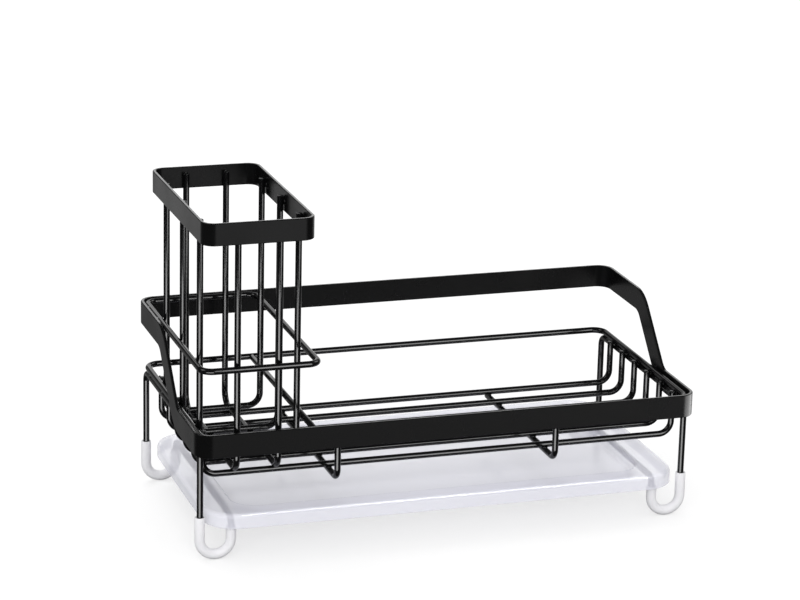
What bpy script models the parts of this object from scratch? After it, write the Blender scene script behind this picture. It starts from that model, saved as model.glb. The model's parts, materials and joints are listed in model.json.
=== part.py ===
"""Sink organizer: a coated steel basket with a raised back rail, a lift-out brush holder and a drip tray.

Run with blender --background --python part.py, or from Blender's text editor.
Lengths are in metres. X runs along the organizer, Y from its front to its back, and Z up.
The origin lies on the worktop, under the middle of the organizer.
"""
import math

import bmesh
import bpy
from mathutils import Matrix, Vector

# Stock and clearances
WIRE_DIAMETER = 0.0036
CLEARANCE = 0.0003
CUT_OVERRUN = 0.002

# Flat band that runs round the basket and climbs to the back
RACK_WIDTH = 0.314
RACK_DEPTH = 0.152
BAND_HEIGHT = 0.0143
BAND_THICKNESS = 0.002
BAND_CORNER_RADIUS = 0.010
BAND_EDGE_CHAMFER = 0.0003
BACK_RISE = 0.0396
RAMP_CENTRE_FROM_FRONT = 0.0735
RAMP_ANGLE = math.radians(47)
RAMP_BEND_RADIUS = 0.017

# Wire basket inside the band
FLOOR_HEIGHT = 0.0495
BASKET_DEPTH = 0.0276
RING_BELOW_BAND_TOP = 0.0035
RING_CORNER_RADIUS = 0.008
BASE_WIRE_COUNT = 6
BASE_WIRE_FRONT_INSET = 0.020
BASE_WIRE_BACK_INSET = 0.030
BASE_WIRE_BEND_RADIUS = 0.008
CROSS_WIRE_LEFT_INSET = 0.0862
CROSS_WIRE_RIGHT_INSET = 0.0904
CROSS_WIRE_OVERHANG = 0.004
CROSS_WIRE_BEND_RADIUS = 0.006

# Leg frames, each one closed loop of wire
LEG_BACK_INSET = 0.005
LEG_BEND_RADIUS = 0.006
FOOT_SPAN = 0.019
RAIL_HEIGHT = 0.0255
RAIL_BEND_RADIUS = 0.005

# Silicone sleeves on the feet
SLEEVE_WALL = 0.001
SLEEVE_FLAT = 0.00025
SLEEVE_OUTER_ARM_TOP = 0.027
SLEEVE_BELOW_TRAY = 0.0008

# Brush holder
HOLDER_LEFT_INSET = 0.0046
HOLDER_FRONT_INSET = 0.006
HOLDER_BACK_INSET = 0.0144
HOLDER_WIDTH = 0.0678
HOLDER_HEIGHT = 0.1546
HOLDER_BAND_HEIGHT = 0.0135
HOLDER_CORNER_RADIUS = 0.008
HOLDER_BEND_RADIUS = 0.008
HOLDER_WIRE_BELOW_TOP = 0.0035
HOLDER_LONG_WIRE_SHARES = (0.32, 0.69)
HOLDER_SIDE_PLAY = 0.0006

# Loop that steadies the brush holder
GUARD_BELOW_BAND_TOP = 0.0022
GUARD_FRONT_PLAY = 0.0015
GUARD_SIDE_PLAY = 0.0008
GUARD_CORNER_RADIUS = 0.007

# Drip tray
TRAY_WALL = 0.0018
TRAY_SKIRT_HEIGHT = 0.009
TRAY_RECESS_DEPTH = 0.006
TRAY_FRONT_INSET = 0.002
TRAY_CORNER_RADIUS = 0.020
TRAY_FLANGE = 0.013
TRAY_DRAFT = 0.002
TRAY_RECESS_CORNER_RADIUS = 0.016
TRAY_EDGE_ROUND = 0.0005
TRAY_END_PLAY = 0.0008
TRAY_BACK_PLAY = 0.0004
TRAY_RAIL_PLAY = 0.0007
TRAY_NOTCH_PLAY = 0.0006

# Smoothness of the meshes
BEND_STEP = math.radians(15)
WIRE_BEVEL_STEPS = 4
EDGE_ROUND_SEGMENTS = 2
SMOOTH_ANGLE = math.radians(40)
SAME_POINT = 0.000001
LEAST_SLOPE = 0.0001

# Places that several pieces share
WIRE_RADIUS = WIRE_DIAMETER / 2
TOUCHING = WIRE_DIAMETER + CLEARANCE
WALL_TO_WIRE = BAND_THICKNESS + CLEARANCE + WIRE_RADIUS
HALF_WIDTH = RACK_WIDTH / 2
FRONT = -RACK_DEPTH / 2
BACK = RACK_DEPTH / 2
SIDE_WIRE_X = HALF_WIDTH - WALL_TO_WIRE
RISER_X = SIDE_WIRE_X - TOUCHING
RING_HEIGHT = FLOOR_HEIGHT + BASKET_DEPTH
FRONT_BAND_TOP = RING_HEIGHT + RING_BELOW_BAND_TOP
BACK_BAND_TOP = FRONT_BAND_TOP + BACK_RISE
LEG_FRONT_Y = FRONT + BAND_CORNER_RADIUS + CLEARANCE
LEG_BACK_Y = BACK - LEG_BACK_INSET
RAIL_X = SIDE_WIRE_X - FOOT_SPAN
SLEEVE_RADIUS = WIRE_RADIUS + CLEARANCE + SLEEVE_WALL
FOOT_WIRE_HEIGHT = SLEEVE_RADIUS - SLEEVE_FLAT
TRAY_TOP = RAIL_HEIGHT + WIRE_RADIUS + CLEARANCE + TRAY_WALL
TRAY_BOTTOM = TRAY_TOP - TRAY_SKIRT_HEIGHT
SLEEVE_INNER_ARM_TOP = TRAY_BOTTOM - SLEEVE_BELOW_TRAY
HOLDER_LEFT = -HALF_WIDTH + HOLDER_LEFT_INSET
HOLDER_RIGHT = HOLDER_LEFT + HOLDER_WIDTH
HOLDER_FRONT = FRONT + HOLDER_FRONT_INSET
HOLDER_BACK = BACK - HOLDER_BACK_INSET
LONG_WIRE_HEIGHT = FLOOR_HEIGHT + TOUCHING
HOLDER_TOP = LONG_WIRE_HEIGHT - WIRE_RADIUS + HOLDER_HEIGHT


def make_material(name, colour, roughness, metallic=0.0, alpha=1.0):
    """Return a plain Principled material."""
    material = bpy.data.materials.new(name)
    material.use_nodes = True
    shader = material.node_tree.nodes["Principled BSDF"]
    shader.inputs["Base Color"].default_value = (*colour, 1)
    shader.inputs["Roughness"].default_value = roughness
    shader.inputs["Metallic"].default_value = metallic
    shader.inputs["Alpha"].default_value = alpha
    return material


def corner_arc(corner, before, after, radius):
    """Return the points of an arc that rounds a corner between two neighbours."""
    into = (corner - before).normalized()
    away = (after - corner).normalized()
    turn = into.angle(away)
    side = (away - into * math.cos(turn)).normalized()
    start = corner - into * radius * math.tan(turn / 2)
    steps = max(1, round(turn / BEND_STEP))
    points = []
    for step in range(steps + 1):
        angle = turn * step / steps
        points.append(start + into * radius * math.sin(angle) + side * radius * (1 - math.cos(angle)))
    return points


def rounded_path(corners, radii, closed):
    """Return points along straight runs, with an arc at each inner corner."""
    points = []
    last = len(corners) - 1
    for index, (corner, radius) in enumerate(zip(corners, radii)):
        if not closed and index in (0, last):
            points.append(corner)
            continue
        after = corners[0] if index == last else corners[index + 1]
        points.extend(corner_arc(corner, corners[index - 1], after, radius))
    kept = [points[0]]
    for point in points[1:]:
        if (point - kept[-1]).length > SAME_POINT:
            kept.append(point)
    if closed and (kept[-1] - kept[0]).length < SAME_POINT:
        kept.pop()
    return kept


def rectangle_path(x_low, x_high, y_low, y_high, height, radius):
    """Return a level rectangle with round corners."""
    corners = [
        Vector((x_low, y_low, height)),
        Vector((x_high, y_low, height)),
        Vector((x_high, y_high, height)),
        Vector((x_low, y_high, height)),
    ]
    return rounded_path(corners, [radius] * len(corners), closed=True)


def add_object(name, data, material):
    """Link an object that holds the data, in the given material."""
    item = bpy.data.objects.new(name, data)
    data.materials.append(material)
    bpy.context.collection.objects.link(item)
    return item


def tube_curve(name, points, radius, closed=False, caps=True):
    """Return a curve that sweeps a round section along the points."""
    curve = bpy.data.curves.new(name, "CURVE")
    curve.dimensions = "3D"
    curve.bevel_depth = radius
    curve.bevel_resolution = WIRE_BEVEL_STEPS
    curve.use_fill_caps = caps
    spline = curve.splines.new("POLY")
    spline.points.add(len(points) - 1)
    for slot, point in zip(spline.points, points):
        slot.co = (*point, 1)
    spline.use_cyclic_u = closed
    return curve


def add_wire(name, points, material, closed=False):
    """Add a bent steel wire."""
    return add_object(name, tube_curve(name, points, WIRE_RADIUS, closed), material)


def mesh_from_bmesh(name, bm):
    """Finish a bmesh as a mesh with smooth sides and sharp edges."""
    bmesh.ops.recalc_face_normals(bm, faces=bm.faces)
    mesh = bpy.data.meshes.new(name)
    bm.to_mesh(mesh)
    bm.free()
    mesh.shade_smooth()
    mesh.set_sharp_from_angle(angle=SMOOTH_ANGLE)
    return mesh


def bridge_rings(bm, rings, closed):
    """Join each ring of vertices to the next, and the last to the first if closed."""
    last = len(rings) if closed else len(rings) - 1
    for index in range(last):
        near = rings[index]
        far = rings[(index + 1) % len(rings)]
        for side in range(len(near)):
            after = (side + 1) % len(near)
            bm.faces.new((near[side], near[after], far[after], far[side]))


def band_section(height, thickness):
    """Return the corners of a flat bar's section, as (outwards, upwards) places."""
    out = thickness / 2
    up = height / 2
    flat_out = out - BAND_EDGE_CHAMFER
    flat_up = up - BAND_EDGE_CHAMFER
    return [
        (out, -flat_up), (out, flat_up), (flat_out, up), (-flat_out, up),
        (-out, flat_up), (-out, -flat_up), (-flat_out, -up), (flat_out, -up),
    ]


def band_mesh(name, points, height):
    """Sweep an upright flat bar round a closed path."""
    bm = bmesh.new()
    section = band_section(height, BAND_THICKNESS)
    rings = []
    for index, point in enumerate(points):
        into = (point - points[index - 1]).normalized()
        away = (points[(index + 1) % len(points)] - point).normalized()
        along = (into + away).normalized()
        outwards = along.cross(Vector((0, 0, 1))).normalized()
        upwards = outwards.cross(along)
        stretch = 1 / math.cos(into.angle(away) / 2)
        if max(abs(into.z), abs(away.z)) > LEAST_SLOPE:
            place = [outwards * out + upwards * up * stretch for out, up in section]
        else:
            place = [outwards * out * stretch + upwards * up for out, up in section]
        rings.append([bm.verts.new(point + offset) for offset in place])
    bridge_rings(bm, rings, closed=True)
    return mesh_from_bmesh(name, bm)


def band_frame(material):
    """The flat band: low at the front, climbing at both sides to a rail at the back."""
    middle = BAND_THICKNESS / 2
    x_edge = HALF_WIDTH - middle
    y_front = FRONT + middle
    y_back = BACK - middle
    z_front = FRONT_BAND_TOP - BAND_HEIGHT / 2
    z_back = BACK_BAND_TOP - BAND_HEIGHT / 2
    ramp_centre = FRONT + RAMP_CENTRE_FROM_FRONT
    half_ramp = BACK_RISE / 2 / math.tan(RAMP_ANGLE)
    corners = [
        Vector((-x_edge, y_front, z_front)),
        Vector((x_edge, y_front, z_front)),
        Vector((x_edge, ramp_centre - half_ramp, z_front)),
        Vector((x_edge, ramp_centre + half_ramp, z_back)),
        Vector((x_edge, y_back, z_back)),
        Vector((-x_edge, y_back, z_back)),
        Vector((-x_edge, ramp_centre + half_ramp, z_back)),
        Vector((-x_edge, ramp_centre - half_ramp, z_front)),
    ]
    corner = BAND_CORNER_RADIUS - middle
    ramp = RAMP_BEND_RADIUS
    path = rounded_path(corners, [corner, corner, ramp, ramp, corner, corner, ramp, ramp], closed=True)
    add_object("band_frame", band_mesh("band_frame", path, BAND_HEIGHT), material)


def basket_ring(material):
    """The closed wire just inside the band, level with its front part."""
    y_low = FRONT + WALL_TO_WIRE
    y_high = BACK - WALL_TO_WIRE
    path = rectangle_path(-SIDE_WIRE_X, SIDE_WIRE_X, y_low, y_high, RING_HEIGHT, RING_CORNER_RADIUS)
    add_wire("basket_ring", path, material, closed=True)


def base_wire_places():
    """Return the Y place of each wire along the basket's floor, front to back."""
    first = FRONT + BASE_WIRE_FRONT_INSET
    last = BACK - BASE_WIRE_BACK_INSET
    return [first + (last - first) * index / (BASE_WIRE_COUNT - 1) for index in range(BASE_WIRE_COUNT)]


def base_wires(material):
    """The long floor wires, bent up at both ends to the ring."""
    for number, y in enumerate(base_wire_places(), start=1):
        corners = [
            Vector((-RISER_X, y, RING_HEIGHT)),
            Vector((-RISER_X, y, FLOOR_HEIGHT)),
            Vector((RISER_X, y, FLOOR_HEIGHT)),
            Vector((RISER_X, y, RING_HEIGHT)),
        ]
        path = rounded_path(corners, [BASE_WIRE_BEND_RADIUS] * len(corners), closed=False)
        add_wire(f"base_wire_{number}", path, material)


def cross_wires(material):
    """Two wires under the floor wires, bent up in front to the band."""
    places = {
        "cross_wire_left": -HALF_WIDTH + CROSS_WIRE_LEFT_INSET,
        "cross_wire_right": HALF_WIDTH - CROSS_WIRE_RIGHT_INSET,
    }
    height = FLOOR_HEIGHT - TOUCHING
    y_front = FRONT + WALL_TO_WIRE
    y_back = base_wire_places()[-1] + CROSS_WIRE_OVERHANG
    for name, x in places.items():
        corners = [
            Vector((x, y_front, RING_HEIGHT - WIRE_RADIUS - CLEARANCE)),
            Vector((x, y_front, height)),
            Vector((x, y_back, height)),
        ]
        path = rounded_path(corners, [CROSS_WIRE_BEND_RADIUS] * len(corners), closed=False)
        add_wire(name, path, material)


def holder_side_wire_x():
    """Return the X places of the upright ends of the holder's side wires."""
    return HOLDER_LEFT + WALL_TO_WIRE, HOLDER_RIGHT - WALL_TO_WIRE


def divider_wire(material):
    """The wire across the basket that parts off the brush holder."""
    x = holder_side_wire_x()[1] + WIRE_DIAMETER + HOLDER_SIDE_PLAY
    end = WALL_TO_WIRE + WIRE_RADIUS + CLEARANCE
    path = [Vector((x, FRONT + end, RING_HEIGHT)), Vector((x, BACK - end, RING_HEIGHT))]
    add_wire("divider_wire", path, material)


def guard_loop(material):
    """The closed wire against the back rail that steadies the brush holder."""
    x_high = HOLDER_RIGHT + GUARD_SIDE_PLAY + WIRE_RADIUS
    holder_wire_front = HOLDER_FRONT + BAND_THICKNESS + CLEARANCE
    y_low = holder_wire_front - GUARD_FRONT_PLAY - WIRE_RADIUS
    y_high = BACK - WALL_TO_WIRE
    height = BACK_BAND_TOP - GUARD_BELOW_BAND_TOP
    path = rectangle_path(-SIDE_WIRE_X, x_high, y_low, y_high, height, GUARD_CORNER_RADIUS)
    add_wire("guard_loop", path, material, closed=True)


def leg_frames(material):
    """Two closed loops: legs with U-shaped feet, and rails that carry the tray."""
    top = RING_HEIGHT - TOUCHING
    foot = FOOT_WIRE_HEIGHT
    for name, side in (("leg_frame_left", -1), ("leg_frame_right", 1)):
        outer = side * SIDE_WIRE_X
        inner = side * RAIL_X
        corners = [
            Vector((outer, LEG_FRONT_Y, top)),
            Vector((outer, LEG_FRONT_Y, foot)),
            Vector((inner, LEG_FRONT_Y, foot)),
            Vector((inner, LEG_FRONT_Y, RAIL_HEIGHT)),
            Vector((inner, LEG_BACK_Y, RAIL_HEIGHT)),
            Vector((inner, LEG_BACK_Y, foot)),
            Vector((outer, LEG_BACK_Y, foot)),
            Vector((outer, LEG_BACK_Y, top)),
        ]
        half = [LEG_BEND_RADIUS, FOOT_SPAN / 2, FOOT_SPAN / 2, RAIL_BEND_RADIUS]
        add_wire(name, rounded_path(corners, half + half[::-1], closed=True), material, closed=True)


def box_cutter(name, low, high):
    """Add a hidden box that a Boolean takes away."""
    mesh = bpy.data.meshes.new(name)
    bm = bmesh.new()
    bmesh.ops.create_cube(bm, size=1)
    bmesh.ops.scale(bm, vec=high - low, verts=bm.verts)
    bmesh.ops.translate(bm, vec=(low + high) / 2, verts=bm.verts)
    bm.to_mesh(mesh)
    bm.free()
    cutter = bpy.data.objects.new(name, mesh)
    bpy.context.collection.objects.link(cutter)
    cutter.hide_render = True
    cutter.display_type = "WIRE"
    return cutter


def cut(item, cutter):
    """Take the cutter away from the object."""
    modifier = item.modifiers.new(f"cut_{cutter.name}", "BOOLEAN")
    modifier.operation = "DIFFERENCE"
    modifier.solver = "EXACT"
    modifier.object = cutter


def sleeve_mesh(name, points):
    """Return the thick-walled tube of a sleeve, its bore clear of the wire."""
    skin = bpy.data.objects.new(name, tube_curve(name, points, SLEEVE_RADIUS, caps=False))
    bpy.context.collection.objects.link(skin)
    wall = skin.modifiers.new("wall", "SOLIDIFY")
    wall.thickness = SLEEVE_WALL
    wall.offset = -1
    wall.use_even_offset = True
    bpy.context.view_layer.update()
    evaluated = skin.evaluated_get(bpy.context.evaluated_depsgraph_get())
    mesh = bpy.data.meshes.new_from_object(evaluated)
    mesh.name = name
    mesh.shade_smooth()
    mesh.set_sharp_from_angle(angle=SMOOTH_ANGLE)
    bpy.data.objects.remove(skin)
    return mesh


def foot_sleeves(material):
    """The four silicone sleeves, each a U-shaped tube with a small flat to stand on."""
    reach = HALF_WIDTH + CUT_OVERRUN
    low = Vector((-reach, FRONT - CUT_OVERRUN, -SLEEVE_RADIUS))
    high = Vector((reach, BACK + CUT_OVERRUN, 0))
    worktop = box_cutter("worktop_cutter", low, high)
    for side_name, side in (("left", -1), ("right", 1)):
        for end_name, y in (("front", LEG_FRONT_Y), ("back", LEG_BACK_Y)):
            name = f"foot_sleeve_{end_name}_{side_name}"
            corners = [
                Vector((side * SIDE_WIRE_X, y, SLEEVE_OUTER_ARM_TOP)),
                Vector((side * SIDE_WIRE_X, y, FOOT_WIRE_HEIGHT)),
                Vector((side * RAIL_X, y, FOOT_WIRE_HEIGHT)),
                Vector((side * RAIL_X, y, SLEEVE_INNER_ARM_TOP)),
            ]
            path = rounded_path(corners, [FOOT_SPAN / 2] * len(corners), closed=False)
            cut(add_object(name, sleeve_mesh(name, path), material), worktop)


def ride_on(pivot, pieces):
    """Parent the pieces to their pivot where they stand."""
    for piece in pieces:
        piece.parent = pivot
        piece.matrix_parent_inverse = Matrix.Translation(-pivot.location)


def add_pivot(name, place):
    """Add an empty on a joint's axis."""
    pivot = bpy.data.objects.new(name, None)
    pivot.location = place
    bpy.context.collection.objects.link(pivot)
    return pivot


def holder_band(material):
    """The flat band round the brush holder's mouth."""
    middle = BAND_THICKNESS / 2
    height = HOLDER_TOP - HOLDER_BAND_HEIGHT / 2
    path = rectangle_path(HOLDER_LEFT + middle, HOLDER_RIGHT - middle, HOLDER_FRONT + middle,
                          HOLDER_BACK - middle, height, HOLDER_CORNER_RADIUS - middle)
    return add_object("holder_band", band_mesh("holder_band", path, HOLDER_BAND_HEIGHT), material)


def holder_long_wires(material):
    """The holder's lower U-shaped wires, which stand on the basket's floor wires."""
    top = HOLDER_TOP - HOLDER_WIRE_BELOW_TOP
    y_low = HOLDER_FRONT + WALL_TO_WIRE
    y_high = HOLDER_BACK - WALL_TO_WIRE
    wires = []
    for number, share in enumerate(HOLDER_LONG_WIRE_SHARES, start=1):
        x = HOLDER_LEFT + HOLDER_WIDTH * share
        corners = [
            Vector((x, y_low, top)),
            Vector((x, y_low, LONG_WIRE_HEIGHT)),
            Vector((x, y_high, LONG_WIRE_HEIGHT)),
            Vector((x, y_high, top)),
        ]
        path = rounded_path(corners, [HOLDER_BEND_RADIUS] * len(corners), closed=False)
        wires.append(add_wire(f"holder_long_wire_{number}", path, material))
    return wires


def holder_side_wires(material):
    """The holder's upper U-shaped wires, each between two risers of the basket."""
    top = HOLDER_TOP - HOLDER_WIRE_BELOW_TOP
    height = LONG_WIRE_HEIGHT + TOUCHING
    x_low, x_high = holder_side_wire_x()
    floor = base_wire_places()
    wires = []
    for number, index in enumerate(range(0, BASE_WIRE_COUNT - 1, 2), start=1):
        y = (floor[index] + floor[index + 1]) / 2
        corners = [
            Vector((x_low, y, top)),
            Vector((x_low, y, height)),
            Vector((x_high, y, height)),
            Vector((x_high, y, top)),
        ]
        path = rounded_path(corners, [HOLDER_BEND_RADIUS] * len(corners), closed=False)
        wires.append(add_wire(f"holder_side_wire_{number}", path, material))
    return wires


def brush_holder(material):
    """The holder, which lifts straight up out of the basket."""
    x = (HOLDER_LEFT + HOLDER_RIGHT) / 2
    y = (HOLDER_FRONT + HOLDER_BACK) / 2
    pivot = add_pivot("holder_lift", (x, y, LONG_WIRE_HEIGHT - WIRE_RADIUS))
    pieces = [holder_band(material), *holder_long_wires(material), *holder_side_wires(material)]
    ride_on(pivot, pieces)


def tray_mesh(name, x_half, y_low, y_high):
    """Return the tray: a skirt, a flange, and a shallow recess with leaning walls."""
    recess_x = RAIL_X - WIRE_RADIUS - TRAY_RAIL_PLAY - TRAY_WALL
    floor_top = TRAY_TOP - TRAY_RECESS_DEPTH
    recess = (recess_x, TRAY_FLANGE, TRAY_RECESS_CORNER_RADIUS)
    # Each loop is an outline, how far it is drawn in from that outline, and its height.
    rim = (x_half, 0, TRAY_CORNER_RADIUS)
    loops = [
        (recess, TRAY_DRAFT, floor_top),
        (recess, 0, TRAY_TOP),
        (rim, 0, TRAY_TOP),
        (rim, 0, TRAY_BOTTOM),
        (rim, TRAY_WALL, TRAY_BOTTOM),
        (rim, TRAY_WALL, TRAY_TOP - TRAY_WALL),
        (recess, -TRAY_WALL, TRAY_TOP - TRAY_WALL),
        (recess, TRAY_DRAFT - TRAY_WALL, floor_top - TRAY_WALL),
    ]
    bm = bmesh.new()
    rings = []
    for (reach, inset, radius), drawn_in, height in loops:
        x = reach - drawn_in
        path = rectangle_path(-x, x, y_low + inset + drawn_in, y_high - inset - drawn_in,
                              height, radius - drawn_in)
        rings.append([bm.verts.new(point) for point in path])
    bridge_rings(bm, rings, closed=False)
    bm.faces.new(rings[0])
    bm.faces.new(rings[-1])
    return mesh_from_bmesh(name, bm)


def drip_tray(material):
    """The tray, which rests on the rails and draws out to the front."""
    x_half = SIDE_WIRE_X - SLEEVE_RADIUS - TRAY_END_PLAY
    y_low = FRONT + TRAY_FRONT_INSET
    y_high = LEG_BACK_Y + WIRE_RADIUS + TRAY_BACK_PLAY + TRAY_WALL
    tray = add_object("drip_tray", tray_mesh("drip_tray", x_half, y_low, y_high), material)
    edges = tray.modifiers.new("round_edges", "BEVEL")
    edges.width = TRAY_EDGE_ROUND
    edges.segments = EDGE_ROUND_SEGMENTS
    edges.limit_method = "ANGLE"
    edges.angle_limit = SMOOTH_ANGLE
    half_notch = WIRE_RADIUS + TRAY_NOTCH_PLAY
    for side_name, side in (("left", -1), ("right", 1)):
        x = side * RAIL_X
        low = Vector((x - half_notch, y_high - TRAY_WALL - CUT_OVERRUN, TRAY_BOTTOM - CUT_OVERRUN))
        high = Vector((x + half_notch, y_high + CUT_OVERRUN, TRAY_TOP - TRAY_WALL))
        cut(tray, box_cutter(f"notch_cutter_{side_name}", low, high))
    ride_on(add_pivot("tray_slide", (0, (y_low + y_high) / 2, TRAY_TOP - TRAY_WALL)), [tray])


def main():
    for item in list(bpy.data.objects):
        bpy.data.objects.remove(item)
    black_coat = make_material("black_coat", (0.018, 0.018, 0.019), 0.38)
    silicone = make_material("silicone", (0.80, 0.81, 0.83), 0.42, alpha=0.75)
    tray_plastic = make_material("tray_plastic", (0.80, 0.80, 0.86), 0.18, alpha=0.7)
    band_frame(black_coat)
    basket_ring(black_coat)
    base_wires(black_coat)
    cross_wires(black_coat)
    divider_wire(black_coat)
    guard_loop(black_coat)
    leg_frames(black_coat)
    foot_sleeves(silicone)
    brush_holder(black_coat)
    drip_tray(tray_plastic)


main()
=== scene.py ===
"""Sink organizer: finer wires, bands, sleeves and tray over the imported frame, with finishes and stage.

Lengths are in metres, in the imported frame.
X runs along the organizer, Y from its front to its back, and Z up.
"""
import json
import math

import bmesh
import bpy
from bpy.props import FloatProperty, FloatVectorProperty, PointerProperty
from mathutils import Matrix, Vector

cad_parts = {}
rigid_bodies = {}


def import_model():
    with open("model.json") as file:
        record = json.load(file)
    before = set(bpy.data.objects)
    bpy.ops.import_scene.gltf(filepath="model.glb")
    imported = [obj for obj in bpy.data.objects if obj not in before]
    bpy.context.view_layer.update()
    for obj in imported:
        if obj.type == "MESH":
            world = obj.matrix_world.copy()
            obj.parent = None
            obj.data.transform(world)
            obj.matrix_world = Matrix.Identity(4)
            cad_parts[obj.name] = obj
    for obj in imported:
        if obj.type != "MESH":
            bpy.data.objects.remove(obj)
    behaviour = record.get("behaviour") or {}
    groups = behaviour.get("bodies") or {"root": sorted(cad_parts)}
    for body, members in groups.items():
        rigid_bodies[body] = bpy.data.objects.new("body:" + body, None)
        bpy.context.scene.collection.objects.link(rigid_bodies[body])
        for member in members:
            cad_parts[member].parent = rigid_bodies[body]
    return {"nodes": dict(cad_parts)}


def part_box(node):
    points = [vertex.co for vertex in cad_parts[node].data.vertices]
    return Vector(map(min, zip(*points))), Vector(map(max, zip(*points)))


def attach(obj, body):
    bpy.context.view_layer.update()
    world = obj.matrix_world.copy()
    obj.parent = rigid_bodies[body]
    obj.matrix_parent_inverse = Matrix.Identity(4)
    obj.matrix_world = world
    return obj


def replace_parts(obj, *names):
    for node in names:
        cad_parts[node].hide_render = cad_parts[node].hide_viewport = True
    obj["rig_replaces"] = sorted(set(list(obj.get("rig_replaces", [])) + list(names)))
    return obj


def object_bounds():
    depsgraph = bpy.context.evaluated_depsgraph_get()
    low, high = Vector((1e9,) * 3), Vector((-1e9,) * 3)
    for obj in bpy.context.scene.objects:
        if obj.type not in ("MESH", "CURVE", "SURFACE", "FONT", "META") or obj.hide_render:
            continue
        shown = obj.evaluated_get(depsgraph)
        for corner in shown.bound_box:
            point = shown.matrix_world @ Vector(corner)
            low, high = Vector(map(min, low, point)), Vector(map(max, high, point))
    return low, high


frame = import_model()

bl_info = {
    "name": "Sink organizer",
    "version": (1, 0, 0),
    "blender": (4, 5, 0),
    "location": "3D View > Sidebar > Organizer",
    "description": "Builds a coated wire sink organizer with a brush holder and a drip tray",
    "category": "Add Mesh",
}

CAD_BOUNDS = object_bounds()

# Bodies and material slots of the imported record
RACK = "rack"
HOLDER = "brush_holder"
TRAY = "drip_tray"
COAT_SLOT = "black_coat"
SILICONE_SLOT = "silicone"
TRAY_SLOT = "tray_plastic"

# Smoothness of the meshes
WIRE_SIDES = 32
WELD_SIDES = 14
BEND_STEP = math.radians(7.5)
CORNER_STEPS = 12
RIM_STEPS = 5
RECESS_STEPS = 4
ROUND_STEPS = 3
SMOOTH_ANGLE = math.radians(35)

# Distances below which a run has no length, and below which a point lies at a place
SAME_POINT = 0.000002
NEAR = 0.00002

# Axes by number, as in a point, and by direction
X = 0
Y = 1
X_AXIS, Y_AXIS, Z_AXIS = Matrix.Identity(3)


def wide_box(*nodes):
    """Return the lowest and highest corners of several nodes together."""
    boxes = [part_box(node) for node in nodes]
    low = Vector(min(box[0][axis] for box in boxes) for axis in range(3))
    high = Vector(max(box[1][axis] for box in boxes) for axis in range(3))
    return low, high


def node_middle(node):
    """Return the middle of a node's box."""
    low, high = wide_box(node)
    return (low + high) / 2


# Nodes and places read from the frame
FLOOR_NODES = sorted(name for name in frame["nodes"] if name.startswith("base_wire_"))
CROSS_NODES = ["cross_wire_left", "cross_wire_right"]
BAND_LOW, BAND_HIGH = wide_box("band_frame")
RING_LOW, RING_HIGH = wide_box("basket_ring")
GUARD_LOW, GUARD_HIGH = wide_box("guard_loop")
HOLDER_LOW, HOLDER_HIGH = wide_box("holder_band")
TRAY_LOW, TRAY_HIGH = wide_box("drip_tray")


def length(name, description, default):
    """Return a property that holds a length."""
    return FloatProperty(name=name, description=description, default=default,
                         subtype="DISTANCE", unit="LENGTH")


def colour(name, description, default):
    """Return a property that holds a colour."""
    return FloatVectorProperty(name=name, description=description, default=default,
                               subtype="COLOR", min=0, max=1)


class OrganizerSizes(bpy.types.PropertyGroup):
    """Sizes of the stock, bends and roundings that the frame's boxes don't give."""

    wire_thickness: length("Wire", "Thickness of the coated wire", 0.0039)
    wire_end_round: length("Wire end rounding", "Rounding of the rims of cut wire ends", 0.0004)
    band_thickness: length("Band", "Thickness of the flat bands", 0.002)
    band_height: length("Band height", "Height of the basket's band", 0.0143)
    band_edge_round: length("Band edge rounding", "Rounding of the long edges of the bands", 0.0005)
    band_corner: length("Band corner", "Outer radius of the basket band's corners", 0.010)
    ramp_place: length("Ramp place", "Distance of the ramps' middle from the band's front face", 0.0735)
    ramp_bend: length("Ramp bend", "Radius of the bends at the ramps, to the band's middle", 0.017)
    ramp_angle: FloatProperty(
        name="Ramp angle", description="Steepness of the ramps",
        default=math.radians(47), subtype="ANGLE", unit="ROTATION")
    ring_corner: length("Ring corner", "Radius of the basket ring's corners", 0.008)
    guard_corner: length("Guard corner", "Radius of the guard loop's corners", 0.007)
    floor_bend: length("Floor wire bend", "Radius of the bends of the long floor wires", 0.008)
    cross_bend: length("Cross wire bend", "Radius of the bends of the cross wires", 0.006)
    leg_bend: length("Leg bend", "Radius of the bends at the tops of the legs", 0.006)
    foot_span: length("Foot span", "Distance between the two arms of a foot", 0.019)
    rail_height: length("Rail height", "Height of the middle of the rails under the tray", 0.0255)
    rail_bend: length("Rail bend", "Radius of the bends at the ends of the rails", 0.005)
    sleeve_wall: length("Sleeve wall", "Thickness of the silicone sleeves", 0.001)
    sleeve_lip: length("Sleeve lip", "Rounding of the rims of the sleeves", 0.00035)
    sleeve_below_tray: length("Sleeve below tray", "Gap between a sleeve's inner arm and the tray", 0.0008)
    holder_corner: length("Holder corner", "Outer radius of the holder band's corners", 0.008)
    holder_bend: length("Holder wire bend", "Radius of the bends of the holder's wires", 0.008)
    tray_wall: length("Tray wall", "Thickness of the tray", 0.0018)
    tray_corner: length("Tray corner", "Outer radius of the tray's corners", 0.020)
    tray_end_flange: length("Tray end flange", "Width of the flange at the tray's ends", 0.0194)
    tray_flange: length("Tray flange", "Width of the flange at the tray's front and back", 0.013)
    tray_recess: length("Tray recess", "Depth of the tray's recess", 0.006)
    tray_draft: length("Tray draft", "How far the recess's walls lean in", 0.002)
    tray_rim_round: length("Tray rim rounding", "Rounding of the tray's outer rim", 0.0026)
    tray_recess_round: length("Recess rounding", "Rounding of the edges of the tray's recess", 0.0014)
    tray_notch: length("Tray notch", "Width of the notches in the tray's back skirt", 0.0048)


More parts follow.
